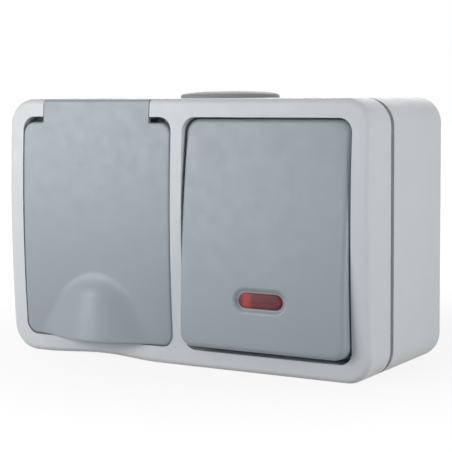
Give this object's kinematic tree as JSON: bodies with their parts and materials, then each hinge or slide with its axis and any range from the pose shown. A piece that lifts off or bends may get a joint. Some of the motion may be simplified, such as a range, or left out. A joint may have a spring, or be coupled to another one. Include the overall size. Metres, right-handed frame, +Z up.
{
  "type": "surface mounted switch and socket",
  "caption": "Surface-mounted case with a sprung flap over a round socket on the left and a lit rocker switch on the right.",
  "frame": {"origin": "centre of the back face, on the wall", "axes": "+X to the right along the length, +Y into the wall, +Z up"},
  "size_m": [0.132, 0.0579, 0.0856],
  "materials": {
    "case_grey": "fine satin grain",
    "blue_grey": "satin",
    "dark_seal": "matte",
    "plug_grey": "matte",
    "soft_seal": "matte",
    "red_window": "translucent",
    "face_grey": "satin",
    "insulator_white": "satin",
    "insulator_black": "satin",
    "lamp_glass": "clear",
    "brass_strip": "rolled",
    "bright_strip": "rolled",
    "steel": "zinc plated",
    "spring_steel": "drawn wire"
  },
  "bodies": {
    "case": {"back_box": "case_grey", "case_seal": "dark_seal", "front_cover": "case_grey", "entry_plug": "plug_grey", "cover_screw_a": "steel", "cover_screw_b": "steel", "cover_screw_c": "steel", "cover_screw_d": "steel", "hinge_pin": "steel", "flap_spring": "spring_steel", "flap_seal": "soft_seal", "socket_face": "face_grey", "socket_centre_screw": "steel", "socket_base": "insulator_black", "base_screw_a": "steel", "base_screw_b": "steel", "contact_live": "brass_strip", "contact_neutral": "brass_strip", "terminal_screw_live": "steel", "terminal_screw_neutral": "steel", "earth_clip": "bright_strip", "terminal_screw_earth": "steel", "rocker_cradle": "insulator_white", "indicator_lamp": "lamp_glass", "switch_base": "insulator_black", "switch_screw_a": "steel", "switch_screw_b": "steel", "fixed_contact": "brass_strip", "switch_terminal_a": "steel", "common_contact": "brass_strip", "switch_terminal_b": "steel"},
    "flap": {"socket_flap": "blue_grey"},
    "rocker": {"rocker": "blue_grey", "rocker_lens": "red_window", "plunger": "insulator_white", "plunger_spring": "spring_steel"},
    "lever": {"contact_lever": "brass_strip"}
  },
  "joints": [
    {"name": "flap_hinge", "type": "hinge", "parent": "case", "child": "flap", "pos_m": [-0.031, -0.048, 0.0384], "axis": [-1, 0, 0], "range_deg": [0, 110], "stiffness_Nm_per_rad": 0.005, "springref_deg": -22.92, "deforming": ["flap_spring"]},
    {"name": "rocker_tilt", "type": "hinge", "parent": "case", "child": "rocker", "pos_m": [0.031, -0.0435, 0], "axis": [1, 0, 0], "range_deg": [0, 9.5]},
    {"name": "lever_tip", "type": "hinge", "parent": "case", "child": "lever", "pos_m": [0.031, -0.0205, 0], "axis": [1, 0, 0], "range_deg": [-16, 0]}
  ],
  "couplings": [
    {"joint": "lever_tip", "follows": "rocker_tilt", "ratio": -1.6842}
  ]
}
